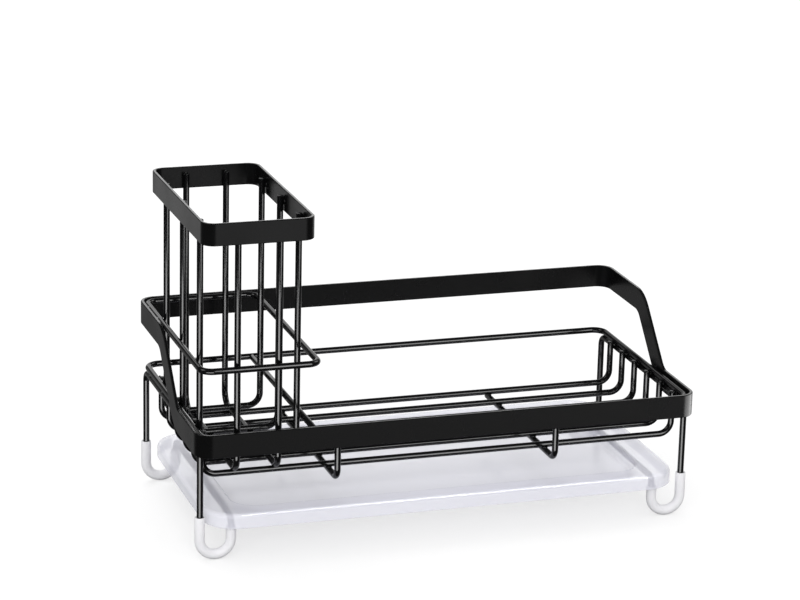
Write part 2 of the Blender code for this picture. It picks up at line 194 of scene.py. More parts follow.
class OrganizerFinish(bpy.types.PropertyGroup):
    """Colours of the finishes and the stage."""

    wire_colour: colour("Wire coat", "Colour of the glossy black coat on the wires", (0.002, 0.002, 0.0022))
    wire_thin: colour(
        "Thin wire coat", "Colour where the coat on the wires is a little thinner", (0.004, 0.004, 0.0043))
    band_colour: colour("Band coat", "Colour of the satin black coat on the bands", (0.0025, 0.0025, 0.0026))
    band_thin: colour(
        "Thin band coat", "Colour where the coat on the bands is a little thinner", (0.004, 0.004, 0.0042))
    silicone_colour: colour("Silicone", "Colour of the milky silicone sleeves", (0.87, 0.865, 0.89))
    silicone_shade: colour(
        "Silicone shade", "Colour of the slightly greyer parts of the silicone", (0.82, 0.815, 0.85))
    tray_colour: colour("Tray", "Colour of the translucent tray", (0.90, 0.90, 0.98))
    tray_shade: colour("Tray shade", "Colour of the slightly denser parts of the tray", (0.86, 0.86, 0.95))
    tray_alpha: FloatProperty(
        name="Tray opacity", description="How much of what lies behind the tray it hides",
        default=0.46, min=0, max=1, subtype="FACTOR")
    floor_colour: colour("Floor", "Colour of the floor", (0.40, 0.40, 0.40))


def sizes():
    """Return the sizes held by the scene."""
    return bpy.context.scene.organizer_sizes


def colours():
    """Return the colours held by the scene."""
    return bpy.context.scene.organizer_finish


def wire_radius():
    """Return half the wire's thickness."""
    return sizes().wire_thickness / 2


def deselect():
    """Deselect every object."""
    bpy.ops.object.select_all(action="DESELECT")


def choose(*pieces):
    """Select only these pieces, with the first one active."""
    deselect()
    for piece in pieces:
        piece.select_set(True)
    bpy.context.view_layer.objects.active = pieces[0]


def rename(piece, name):
    """Name a piece and its mesh."""
    piece.name = name
    piece.data.name = name


def edit_new(name):
    """Name the primitive just added, put its place in its mesh, and edit it with all selected."""
    piece = bpy.context.object
    rename(piece, name)
    bpy.ops.object.transform_apply(location=True, rotation=True, scale=True)
    bpy.ops.object.mode_set(mode="EDIT")
    bpy.ops.mesh.select_mode(type="VERT")
    bpy.ops.mesh.select_all(action="SELECT")
    return piece


def extrude(step):
    """Extrude what is selected by a step."""
    bpy.ops.mesh.extrude_region_move(TRANSFORM_OT_translate={"value": step})


def begin_wire(name, place, along, radius):
    """Start a wire as a circle across its first run."""
    deselect()
    turned = along.to_track_quat("Z", "Y").to_euler()
    bpy.ops.mesh.primitive_circle_add(vertices=WIRE_SIDES, radius=radius, location=place, rotation=turned)
    return edit_new(name)


def begin_band(name, place, height):
    """Start a flat band as an upright outline with round corners, across a run along X."""
    deselect()
    bpy.ops.mesh.primitive_plane_add(size=1, location=place, rotation=(0, math.pi / 2, 0))
    piece = edit_new(name)
    bpy.ops.transform.resize(value=(1, sizes().band_thickness, height), center_override=place)
    bpy.ops.mesh.bevel(offset=sizes().band_edge_round, segments=ROUND_STEPS, affect="VERTICES")
    bpy.ops.mesh.delete(type="ONLY_FACE")
    bpy.ops.mesh.select_all(action="SELECT")
    return piece


def bend_at(before, corner, after, radius):
    """Return where a bend starts and ends, its centre, its axis and its angle."""
    into = (corner - before).normalized()
    away = (after - corner).normalized()
    turn = into.angle(away)
    side = (away - into * math.cos(turn)).normalized()
    reach = radius * math.tan(turn / 2)
    start = corner - into * reach
    return start, corner + away * reach, start + side * radius, into.cross(away).normalized(), turn


def extrude_to(here, there):
    """Extrude the selected section along a straight run."""
    if (there - here).length > SAME_POINT:
        extrude(there - here)


def check_section(piece, place):
    """Raise an error if the selected section isn't centred on the place."""
    chosen = [vert.co for vert in bmesh.from_edit_mesh(piece.data).verts if vert.select]
    middle = sum(chosen, Vector()) / len(chosen)
    if (middle - place).length > NEAR:
        raise RuntimeError(f"{piece.name} ends at {middle[:]} instead of {place[:]}")


def sweep(piece, corners, radii, closed):
    """Extrude and spin the selected section along straight runs and round bends."""
    count = len(corners)
    seam = (corners[-1] + corners[0]) / 2
    here = seam if closed else corners[0]
    for index in range(count) if closed else range(1, count - 1):
        after = corners[(index + 1) % count]
        start, end, centre, axis, turn = bend_at(corners[index - 1], corners[index], after, radii[index])
        extrude_to(here, start)
        steps = max(2, round(turn / BEND_STEP))
        # A positive angle turns the spin operator clockwise about its axis
        bpy.ops.mesh.spin(steps=steps, angle=-turn, center=centre, axis=axis)
        here = end
    there = seam if closed else corners[-1]
    extrude_to(here, there)
    check_section(piece, there)
    bpy.ops.mesh.select_all(action="SELECT")
    bpy.ops.mesh.remove_doubles(threshold=NEAR)


def round_edges(piece, test, offset, segments=ROUND_STEPS):
    """Round the edges that pass the test."""
    bpy.ops.mesh.select_mode(type="EDGE")
    bpy.ops.mesh.select_all(action="DESELECT")
    chosen = [edge for edge in bmesh.from_edit_mesh(piece.data).edges if test(edge)]
    if not chosen:
        raise RuntimeError(f"{piece.name} has no edges at the place asked for")
    for edge in chosen:
        edge.select_set(True)
    bmesh.update_edit_mesh(piece.data)
    bpy.ops.mesh.bevel(offset=offset, segments=segments, affect="EDGES")


def cap_ends(piece):
    """Fill a wire's two open ends and round their rims."""
    bpy.ops.mesh.fill_holes(sides=0)
    round_edges(piece, lambda edge: any(len(face.verts) == WIRE_SIDES for face in edge.link_faces),
                sizes().wire_end_round)


def add_modifier(piece, kind):
    """Add a modifier of the kind to the active piece and return it."""
    bpy.ops.object.modifier_add(type=kind)
    return piece.modifiers[-1]


def apply_modifier(modifier):
    """Apply the modifier to the active piece."""
    bpy.ops.object.modifier_apply(modifier=modifier.name)


def flatten_shading(piece):
    """Let the wide faces of the active piece shade flat beside its rounded edges."""
    weighted = add_modifier(piece, "WEIGHTED_NORMAL")
    weighted.keep_sharp = True
    apply_modifier(weighted)


def finish_mesh():
    """Turn the faces outwards, leave edit mode and shade the piece smooth."""
    bpy.ops.mesh.select_all(action="SELECT")
    bpy.ops.mesh.normals_make_consistent(inside=False)
    bpy.ops.object.mode_set(mode="OBJECT")
    bpy.ops.object.shade_smooth_by_angle(angle=SMOOTH_ANGLE)


def put_on(piece, material, body, slot, *nodes):
    """Give the piece its material and body, and the nodes that it stands for; the slot is not used."""
    piece.data.materials.clear()
    piece.data.materials.append(material)
    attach(piece, body)
    if nodes:
        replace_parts(piece, *nodes)


def copied(piece, name, step):
    """Copy a piece with its own mesh, moved by the step, and without the nodes that it stands for."""
    choose(piece)
    bpy.ops.object.duplicate(linked=False)
    copy = bpy.context.object
    rename(copy, name)
    copy.pop("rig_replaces", None)
    bpy.ops.object.mode_set(mode="EDIT")
    bpy.ops.mesh.select_all(action="SELECT")
    bpy.ops.transform.translate(value=step)
    bpy.ops.object.mode_set(mode="OBJECT")
    return copy


def put_row(first, names, nodes, axis, material, body, slot):
    """Put the first piece on its node's body, and a copy of it in the place of each further node."""
    put_on(first, material, body, slot, nodes[0])
    start = wide_box(nodes[0])[0]
    for name, node in zip(names[1:], nodes[1:]):
        step = Vector()
        step[axis] = wide_box(node)[0][axis] - start[axis]
        put_on(copied(first, name, step), material, body, slot, node)


def bent_wire(name, corners, radii, closed=False):
    """Model a bent wire along the corners."""
    first = corners[0] - corners[-1] if closed else corners[1] - corners[0]
    place = (corners[-1] + corners[0]) / 2 if closed else corners[0]
    piece = begin_wire(name, place, first, wire_radius())
    sweep(piece, corners, radii, closed)
    if not closed:
        cap_ends(piece)
    finish_mesh()
    return piece


def u_wires(names, nodes, along, across, bend, body):
    """Model a wire that runs along an axis and stands up at both ends, and copy it across."""
    low, high = wide_box(nodes[0])
    stock = wire_radius()
    start = low[along] + stock
    end = high[along] - stock
    corners = []
    for place, height in ((start, high.z), (start, low.z + stock), (end, low.z + stock), (end, high.z)):
        corner = (low + high) / 2
        corner[along] = place
        corner.z = height
        corners.append(corner)
    first = bent_wire(names[0], corners, [bend] * len(corners))
    put_row(first, names, nodes, across, wire_coat(), body, COAT_SLOT)


def level_corners(low, high, height):
    """Return the corners of a level rectangle, so that its seam lies in its front run."""
    return [
        Vector((high.x, low.y, height)),
        Vector((high.x, high.y, height)),
        Vector((low.x, high.y, height)),
        Vector((low.x, low.y, height)),
    ]


def loop_wire(name, low, high, radius):
    """Model a level closed wire loop that fills a box."""
    stock = Vector((wire_radius(), wire_radius(), 0))
    height = (low.z + high.z) / 2
    corners = level_corners(low + stock, high - stock, height)
    return bent_wire(name, corners, [radius] * len(corners), closed=True)


def add_node(tree, kind, sockets=None, **settings):
    """Add a node with its settings and return it, its sockets filled as in fill_sockets."""
    node = tree.nodes.new(f"ShaderNode{kind}")
    for setting, value in settings.items():
        setattr(node, setting, value)
    fill_sockets(tree, node, sockets or {})
    return node


def fill_sockets(tree, node, sockets):
    """Link each socket of a node, by name or number, to an output, or set its value."""
    for socket, value in sockets.items():
        if isinstance(value, bpy.types.NodeSocket):
            tree.links.new(value, node.inputs[socket])
        else:
            node.inputs[socket].default_value = value


# Detail of the noises, and the middle part of the drift, over which a finish goes from smooth to rough
DRIFT_DETAIL = 3
GRAIN_DETAIL = 2
DRIFT_LOW = 0.3
DRIFT_HIGH = 0.7


def surface(name, first, second, patch, smooth, rough, grain, depth, bump, fixed):
    """Return the named material, made once.

    Its colour and roughness drift between two values in patches, a fine bump has the given grain,
    depth and strength, and the fixed sockets of its shader are the same all over.
    """
    made = bpy.data.materials.get(name)
    if made:
        return made
    material = bpy.data.materials.new(name)
    material.use_nodes = True
    tree = material.node_tree
    place = add_node(tree, "TexCoord").outputs["Object"]
    noise = add_node(tree, "TexNoise", {"Vector": place, "Scale": 1 / patch, "Detail": DRIFT_DETAIL})
    drift = noise.outputs["Fac"]
    ends = {"Factor": drift, "A": (*first, 1), "B": (*second, 1)}
    blend = add_node(tree, "Mix", ends, data_type="RGBA")
    span = add_node(tree, "MapRange", {
        "Value": drift,
        "From Min": DRIFT_LOW,
        "From Max": DRIFT_HIGH,
        "To Min": smooth,
        "To Max": rough,
    })
    grains = add_node(tree, "TexNoise", {"Vector": place, "Scale": 1 / grain, "Detail": GRAIN_DETAIL})
    relief = add_node(tree, "Bump", {"Height": grains.outputs["Fac"], "Strength": bump, "Distance": depth})
    fill_sockets(tree, tree.nodes["Principled BSDF"], {
        "Base Color": blend.outputs["Result"],
        "Roughness": span.outputs["Result"],
        "Normal": relief.outputs["Normal"],
        **fixed,
    })
    return material


def wire_coat():
    """Return the glossy black coat of the wires."""
    look = colours()
    return surface("glossy_black_coat", look.wire_colour, look.wire_thin, patch=0.02, smooth=0.10,
                   rough=0.14, grain=0.004, depth=0.00001, bump=0.1, fixed={"IOR": 1.5})


def band_coat():
    """Return the satin black coat of the bands."""
    look = colours()
    fixed = {"IOR": 1.5, "Specular IOR Level": 0.25}
    return surface("satin_black_coat", look.band_colour, look.band_thin, patch=0.03, smooth=0.24,
                   rough=0.32, grain=0.0015, depth=0.00002, bump=0.15, fixed=fixed)


def silicone():
    """Return the milky silicone of the sleeves."""
    look = colours()
    fixed = {"Subsurface Weight": 0.5, "Subsurface Radius": (1, 1, 1), "Subsurface Scale": 0.002}
    return surface("milky_silicone", look.silicone_colour, look.silicone_shade, patch=0.012, smooth=0.28,
                   rough=0.38, grain=0.0006, depth=0.00003, bump=0.3, fixed=fixed)


def tray_plastic():
    """Return the glossy translucent plastic of the tray."""
    look = colours()
    fixed = {"Alpha": look.tray_alpha, "IOR": 1.49}
    return surface("translucent_tray_plastic", look.tray_colour, look.tray_shade, patch=0.05, smooth=0.10,
                   rough=0.16, grain=0.003, depth=0.00004, bump=0.25, fixed=fixed)


class ORGANIZER_OT_band_frame(bpy.types.Operator):
    """Model the flat band that runs low round the front and climbs to the back rail"""

    bl_idname = "organizer.band_frame"
    bl_label = "Basket band"

    def execute(self, context):
        size = sizes()
        middle = size.band_thickness / 2
        inset = Vector((middle, middle, size.band_height / 2))
        low = BAND_LOW + inset
        high = BAND_HIGH - inset
        ramp_middle = BAND_LOW.y + size.ramp_place
        half_ramp = (high.z - low.z) / 2 / math.tan(size.ramp_angle)
        right = [
            Vector((high.x, low.y, low.z)),
            Vector((high.x, ramp_middle - half_ramp, low.z)),
            Vector((high.x, ramp_middle + half_ramp, high.z)),
            Vector((high.x, high.y, high.z)),
        ]
        left = [Vector((low.x, corner.y, corner.z)) for corner in reversed(right)]
        corners = right + left
        corner = size.band_corner - middle
        half = [corner, size.ramp_bend, size.ramp_bend, corner]
        piece = begin_band("coated_band", (corners[-1] + corners[0]) / 2, size.band_height)
        sweep(piece, corners, half + half, closed=True)
        finish_mesh()
        flatten_shading(piece)
        put_on(piece, band_coat(), RACK, COAT_SLOT, "band_frame")
        return {"FINISHED"}


class ORGANIZER_OT_basket_loops(bpy.types.Operator):
    """Model the basket's ring, the guard loop by the back rail, and the divider wire"""

    bl_idname = "organizer.basket_loops"
    bl_label = "Basket ring, guard loop and divider"

    def execute(self, context):
        ring = loop_wire("ring_wire", RING_LOW, RING_HIGH, sizes().ring_corner)
        put_on(ring, wire_coat(), RACK, COAT_SLOT, "basket_ring")
        guard = loop_wire("guard_loop_wire", GUARD_LOW, GUARD_HIGH, sizes().guard_corner)
        put_on(guard, wire_coat(), RACK, COAT_SLOT, "guard_loop")
        middle = node_middle("divider_wire")
        ends = [Vector((middle.x, end.y, middle.z)) for end in wide_box("divider_wire")]
        divider = bent_wire("divider_bar", ends, [0, 0])
        put_on(divider, wire_coat(), RACK, COAT_SLOT, "divider_wire")
        return {"FINISHED"}


class ORGANIZER_OT_floor_wires(bpy.types.Operator):
    """Model the long floor wires once and copy them, then the two cross wires under them"""

    bl_idname = "organizer.floor_wires"
    bl_label = "Floor and cross wires"

    def execute(self, context):
        names = [f"floor_wire_{number}" for number in range(1, len(FLOOR_NODES) + 1)]
        u_wires(names, FLOOR_NODES, X, Y, sizes().floor_bend, RACK)
        self.cross_wires()
        return {"FINISHED"}

    def cross_wires(self):
        """Model the left cross wire, which stands up at its front end, and copy it to the right."""
        stock = wire_radius()
        low, high = wide_box(CROSS_NODES[0])
        x = (low.x + high.x) / 2
        corners = [
            Vector((x, low.y + stock, high.z)),
            Vector((x, low.y + stock, low.z + stock)),
            Vector((x, high.y, low.z + stock)),
        ]
        names = ["cross_bar_left", "cross_bar_right"]
        left = bent_wire(names[0], corners, [sizes().cross_bend] * len(corners))
        put_row(left, names, CROSS_NODES, X, wire_coat(), RACK, COAT_SLOT)


class ORGANIZER_OT_leg_frames(bpy.types.Operator):
    """Model each leg frame as one closed wire: two legs, two U-shaped feet and a rail"""

    bl_idname = "organizer.leg_frames"
    bl_label = "Leg frames"

    def execute(self, context):
        size = sizes()
        stock = wire_radius()
        half = [size.leg_bend, size.foot_span / 2, size.foot_span / 2, size.rail_bend]
        for side_name, side in (("left", -1), ("right", 1)):
            node = f"leg_frame_{side_name}"
            low, high = wide_box(node)
            outer = side * (max(abs(low.x), abs(high.x)) - stock)
            inner = outer - side * size.foot_span
            top = high.z - stock
            foot = low.z + stock
            outline = [(outer, top), (outer, foot), (inner, foot), (inner, size.rail_height)]
            front = [Vector((x, low.y + stock, z)) for x, z in outline]
            back = [Vector((x, high.y - stock, z)) for x, z in reversed(outline)]
            piece = bent_wire(f"leg_loop_{side_name}", front + back, half + half[::-1], closed=True)
            put_on(piece, wire_coat(), RACK, COAT_SLOT, node)
        return {"FINISHED"}


class ORGANIZER_OT_foot_sleeves(bpy.types.Operator):
    """Model the silicone sleeves, each a U-shaped tube with round lips and a flat to stand on"""

    bl_idname = "organizer.foot_sleeves"
    bl_label = "Foot sleeves"

    def execute(self, context):
        for side_name, side in (("left", -1), ("right", 1)):
            names = [f"sleeve_{end}_{side_name}" for end in ("front", "back")]
            nodes = [f"foot_{name}" for name in names]
            leg_low = wide_box(f"leg_frame_{side_name}")[0]
            front = self.sleeve(names[0], nodes[0], side, leg_low.z + wire_radius())
            put_row(front, names, nodes, Y, silicone(), RACK, SILICONE_SLOT)
        return {"FINISHED"}

    def sleeve(self, name, node, side, foot):
        """Model one sleeve in the node's box, round a wire whose foot is at the given height."""
        size = sizes()
        low, high = wide_box(node)
        radius = (high.y - low.y) / 2
        y = (low.y + high.y) / 2
        outer = side * (max(abs(low.x), abs(high.x)) - radius)
        inner = outer - side * size.foot_span
        inner_top = TRAY_LOW.z - size.sleeve_below_tray
        corners = [
            Vector((outer, y, high.z)),
            Vector((outer, y, foot)),
            Vector((inner, y, foot)),
            Vector((inner, y, inner_top)),
        ]
        piece = begin_wire(name, corners[0], corners[1] - corners[0], radius)
        sweep(piece, corners, [size.foot_span / 2] * len(corners), closed=False)
        bpy.ops.mesh.normals_make_consistent(inside=False)
        bpy.ops.object.mode_set(mode="OBJECT")
        wall = add_modifier(piece, "SOLIDIFY")
        wall.thickness = size.sleeve_wall
        wall.offset = -1
        wall.use_even_offset = True
        apply_modifier(wall)
        bpy.ops.object.mode_set(mode="EDIT")

        def at_end(vert):
            return min(abs(vert.co.z - high.z), abs(vert.co.z - inner_top)) < NEAR

        round_edges(piece, lambda edge: all(map(at_end, edge.verts)), size.sleeve_lip)
        bpy.ops.mesh.select_mode(type="VERT")
        bpy.ops.mesh.select_all(action="SELECT")
        bpy.ops.mesh.bisect(plane_co=(0, 0, 0), plane_no=(0, 0, 1), use_fill=True, clear_inner=True,
                            threshold=SAME_POINT)
        finish_mesh()
        return piece


class ORGANIZER_OT_brush_holder(bpy.types.Operator):
    """Model the brush holder: its band, its long wires and its side wires"""

    bl_idname = "organizer.brush_holder"
    bl_label = "Brush holder"

    def execute(self, context):
        size = sizes()
        middle = size.band_thickness / 2
        inset = Vector((middle, middle, 0))
        height = HOLDER_HIGH.z - HOLDER_LOW.z
        corners = level_corners(HOLDER_LOW + inset, HOLDER_HIGH - inset, HOLDER_LOW.z + height / 2)
        piece = begin_band("holder_mouth_band", (corners[-1] + corners[0]) / 2, height)
        sweep(piece, corners, [size.holder_corner - middle] * len(corners), closed=True)
        finish_mesh()
        flatten_shading(piece)
        put_on(piece, band_coat(), HOLDER, COAT_SLOT, "holder_band")
        for kind, count, along, across in (("long", 2, Y, X), ("side", 3, X, Y)):
            numbers = range(1, count + 1)
            names = [f"holder_{kind}_bar_{number}" for number in numbers]
            nodes = [f"holder_{kind}_wire_{number}" for number in numbers]
            u_wires(names, nodes, along, across, size.holder_bend, HOLDER)
        return {"FINISHED"}


# Edges past this share of the tray's reach are at its rim, and the others are at its recess
RIM_SHARE = 0.9

# Depth of a notch's cutter in tray walls: its front half gets past the skirt, which curves forward there
NOTCH_DEPTH = 5


class ORGANIZER_OT_tray(bpy.types.Operator):
    """Model the tray: a flange round a shallow recess, with a skirt below its rim"""

    bl_idname = "organizer.tray"
    bl_label = "Drip tray"

    def execute(self, context):
        size = sizes()
        half = (TRAY_HIGH - TRAY_LOW) / 2
        centre = Vector((0, (TRAY_LOW.y + TRAY_HIGH.y) / 2, TRAY_HIGH.z))
        rim = half.xy
        recess = Vector((half.x - size.tray_end_flange, half.y - size.tray_flange))
        floor = recess - Vector((size.tray_draft, size.tray_draft))
        wall = Vector((size.tray_wall, size.tray_wall))
        skirt = 2 * half.z
        deselect()
        bpy.ops.mesh.primitive_plane_add(size=1, location=centre)
        piece = edit_new("tray_shell")
        bpy.ops.transform.resize(value=(2 * half.x, 2 * half.y, 1), center_override=centre)
        bpy.ops.mesh.bevel(offset=size.tray_corner, segments=CORNER_STEPS, affect="VERTICES")
        bpy.ops.mesh.inset(thickness=size.tray_wall)
        self.scale_outline(centre, rim - wall, recess)
        self.draw_in(centre, recess, floor, -size.tray_recess)
        bpy.ops.mesh.select_mode(type="EDGE")
        bpy.ops.mesh.select_all(action="DESELECT")
        bpy.ops.mesh.select_non_manifold()
        self.draw_in(centre, rim, rim, -skirt)
        self.draw_in(centre, rim, rim - wall, 0)
        self.draw_in(centre, rim - wall, rim - wall, skirt - size.tray_wall)
        self.draw_in(centre, rim - wall, recess + wall, 0)
        self.draw_in(centre, recess + wall, floor + wall, -size.tray_recess)
        bpy.ops.mesh.edge_face_add()
        self.round_tray(piece, centre, half)
        finish_mesh()
        self.cut_notches(piece)
        flatten_shading(piece)
        put_on(piece, tray_plastic(), TRAY, TRAY_SLOT, "drip_tray")
        return {"FINISHED"}

    def draw_in(self, centre, reach, new_reach, rise):
        """Extrude the selected outline, moved up by the rise and scaled to a new reach."""
        extrude((0, 0, rise))
        self.scale_outline(centre, reach, new_reach)

    def scale_outline(self, centre, reach, new_reach):
        """Scale the selected outline about the tray's middle to a new reach."""
        share = (new_reach.x / reach.x, new_reach.y / reach.y, 1)
        bpy.ops.transform.resize(value=share, center_override=centre)

    def round_tray(self, piece, centre, half):
        """Round the rim, the recess and the skirt's lower edge."""
        size = sizes()
        top = TRAY_HIGH.z
        under = top - size.tray_wall
        floor_top = top - size.tray_recess
        outer_round = size.tray_recess_round
        inner_round = outer_round / 2

        def is_at(place, height, at_rim):
            outwards = max(abs(place.x) / half.x, abs(place.y - centre.y) / half.y)
            return abs(place.z - height) < NEAR and (outwards > RIM_SHARE) == at_rim

        rounds = [
            (top, True, size.tray_rim_round, RIM_STEPS),
            (under, True, inner_round, ROUND_STEPS),
            (top, False, outer_round, RECESS_STEPS),
            (under, False, inner_round, ROUND_STEPS),
            (floor_top, False, outer_round, RECESS_STEPS),
            (floor_top - size.tray_wall, False, outer_round, RECESS_STEPS),
            (TRAY_LOW.z, True, inner_round / 2, ROUND_STEPS),
        ]
        for height, at_rim, offset, segments in rounds:
            round_edges(piece, lambda edge: all(is_at(vert.co, height, at_rim) for vert in edge.verts),
                        offset, segments)

    def cut_notches(self, piece):
        """Cut the two notches in the back skirt that pass over the rails."""
        size = sizes()
        rail = wide_box("leg_frame_right")[0].x + wire_radius()
        deep = size.tray_wall * NOTCH_DEPTH
        top = TRAY_HIGH.z - size.tray_wall
        bottom = TRAY_LOW.z - size.tray_wall
        for side in (-1, 1):
            deselect()
            bpy.ops.mesh.primitive_cube_add(size=1, location=(side * rail, TRAY_HIGH.y, (top + bottom) / 2))
            cutter = bpy.context.object
            cutter.scale = (size.tray_notch, deep, top - bottom)
            bpy.ops.object.transform_apply(location=True, rotation=True, scale=True)
            choose(piece)
            notch = add_modifier(piece, "BOOLEAN")
            notch.operation = "DIFFERENCE"
            notch.solver = "EXACT"
            notch.object = cutter
            apply_modifier(notch)
            bpy.data.objects.remove(cutter)
            bpy.ops.object.shade_smooth_by_angle(angle=SMOOTH_ANGLE)


# Sections of a weld fillet, each with its height and its reach as shares of the wire's radius
WELD_SECTIONS = ((-0.5, 0.9), (-0.26, 0.72), (0, 0.66), (0.26, 0.72), (0.5, 0.9))

# How far a fillet is stretched along the run beside it: where wires cross, where a wire stands up
# against the holder's band, and where a wire runs beside a band or another wire
CROSS_WELD = 1
BAND_WELD = 2
SIDE_WELD = 3

# How far below the ring's middle the floor wires' ends are welded to it, as a share of the radius
RISER_DROP = 1 / 3

# Where welds lie, as shares of the depth of the leg frames, and of the width and depth of the guard
LEG_BAND_WELDS = (0.15, 0.38)
LEG_RING_WELDS = (0.12, 0.4, 0.65, 0.88)
GUARD_BACK_WELDS = (0.2, 0.5, 0.8)
GUARD_SIDE_WELDS = (0.72, 0.88)


def between(low, high, share):
    """Return the place at a share of the way from low to high."""
    return low + (high - low) * share


def joint(x, y, z, axis, run, stretch=CROSS_WELD):
    """Return a joint's place, the axis across its gap, the run beside it and its fillet's stretch."""
    return Vector((x, y, z)), axis, run, stretch


class ORGANIZER_OT_welds(bpy.types.Operator):
    """Model one weld fillet and copy it to every place where wires and bands are joined"""

    bl_idname = "organizer.welds"
    bl_label = "Welds"

    def execute(self, context):
        rack = self.floor_joints() + self.leg_joints() + self.guard_joints()
        holder = self.holder_joints()
        for name, joints, body in (("rack_welds", rack, RACK), ("holder_welds", holder, HOLDER)):
            piece = self.beads(name, joints)
            put_on(piece, wire_coat(), body, COAT_SLOT)
        return {"FINISHED"}

    def bead(self):
        """Model one fillet at the origin, waisted half way along Z."""
        stock = wire_radius()
        height, reach = WELD_SECTIONS[0]
        deselect()
        bpy.ops.mesh.primitive_circle_add(vertices=WELD_SIDES, radius=stock * reach,
                                          location=(0, 0, stock * height))
        piece = edit_new("weld_bead")
        for new_height, new_reach in WELD_SECTIONS[1:]:
            extrude((0, 0, stock * (new_height - height)))
            share = new_reach / reach
            bpy.ops.transform.resize(value=(share, share, 1), center_override=(0, 0, stock * new_height))
            height, reach = new_height, new_reach
        bpy.ops.mesh.select_all(action="SELECT")
        bpy.ops.mesh.fill_holes(sides=0)
        finish_mesh()
        return piece

    def beads(self, name, joints):
        """Copy the fillet to each joint and join the copies into one piece."""
        pattern = self.bead()
        copies = []
        for place, axis, run, stretch in joints:
            copy = copied(pattern, name, Vector())
            turned = Matrix((run, axis.cross(run), axis)).transposed().to_4x4()
            copy.matrix_world = Matrix.Translation(place) @ turned @ Matrix.Diagonal((stretch, 1, 1, 1))
            copies.append(copy)
        bpy.data.objects.remove(pattern)
        choose(*copies)
        bpy.ops.object.transform_apply(location=True, rotation=True, scale=True)
        bpy.ops.object.join()
        piece = bpy.context.object
        rename(piece, name)
        return piece

    def floor_joints(self):
        """Return the joints of the floor wires, the cross wires and the ring's front run."""
        wire = sizes().wire_thickness
        stock = wire_radius()
        ring_z = (RING_LOW.z + RING_HIGH.z) / 2
        floor_low = wide_box(FLOOR_NODES[0])[0]
        cross_low, cross_high = wide_box(CROSS_NODES[0])
        cross_x = [node_middle(node).x for node in CROSS_NODES]
        riser_gap = RING_HIGH.x - wire + floor_low.x
        riser_z = ring_z - stock * RISER_DROP
        crossing_z = (floor_low.z + cross_low.z + wire) / 2
        joints = []
        for node in FLOOR_NODES:
            y = node_middle(node).y
            end = wide_box(node)[1].x + riser_gap / 2
            joints += [joint(side * end, y, riser_z, X_AXIS, Y_AXIS) for side in (-1, 1)]
            joints += [joint(x, y, crossing_z, Z_AXIS, X_AXIS) for x in cross_x]
        ring_gap_y = (RING_LOW.y + BAND_LOW.y + sizes().band_thickness) / 2
        butt_z = (cross_high.z + RING_LOW.z) / 2
        for x in cross_x:
            joints.append(joint(x, ring_gap_y, butt_z - wire, Y_AXIS, X_AXIS))
            joints.append(joint(x, RING_LOW.y + stock, butt_z, Z_AXIS, X_AXIS))
        outer = [(BAND_LOW.x + cross_x[0]) / 2, (BAND_HIGH.x + cross_x[1]) / 2]
        joints += [joint(x, ring_gap_y, ring_z, Y_AXIS, X_AXIS, SIDE_WELD) for x in (*cross_x, *outer, 0)]
        return joints

    def leg_joints(self):
        """Return the joints of the leg frames with the band and the ring, and of the ring's sides."""
        stock = wire_radius()
        ring_z = (RING_LOW.z + RING_HIGH.z) / 2
        low, high = wide_box("leg_frame_right")
        joints = []
        for side in (-1, 1):
            for share in LEG_BAND_WELDS:
                y = between(low.y, high.y, share)
                x = side * self.side_gap()
                joints += [joint(x, y, z, X_AXIS, Y_AXIS, SIDE_WELD) for z in (ring_z, high.z - stock)]
            for share in LEG_RING_WELDS:
                place = (side * (high.x - stock), between(low.y, high.y, share), (high.z + RING_LOW.z) / 2)
                joints.append(joint(*place, Z_AXIS, Y_AXIS, SIDE_WELD))
        return joints

    def side_gap(self):
        """Return the distance from the middle to the gap between the ring and the band's sides."""
        return (RING_HIGH.x + BAND_HIGH.x - sizes().band_thickness) / 2

    def guard_joints(self):
        """Return the joints of the divider wire with the ring, and of the guard loop with the band."""
        wire = sizes().wire_thickness
        divider = node_middle("divider_wire")
        ring_z = (RING_LOW.z + RING_HIGH.z) / 2
        guard_z = (GUARD_LOW.z + GUARD_HIGH.z) / 2
        back_gap = (GUARD_HIGH.y + BAND_HIGH.y - sizes().band_thickness) / 2
        ends = (RING_LOW.y + wire, RING_HIGH.y - wire)
        joints = [joint(divider.x, y, ring_z, Y_AXIS, X_AXIS) for y in ends]
        for share in GUARD_BACK_WELDS:
            x = between(GUARD_LOW.x, GUARD_HIGH.x, share)
            joints.append(joint(x, back_gap, guard_z, Y_AXIS, X_AXIS, SIDE_WELD))
        for share in GUARD_SIDE_WELDS:
            y = between(GUARD_LOW.y, GUARD_HIGH.y, share)
            joints.append(joint(-self.side_gap(), y, guard_z, X_AXIS, Y_AXIS, SIDE_WELD))
        return joints

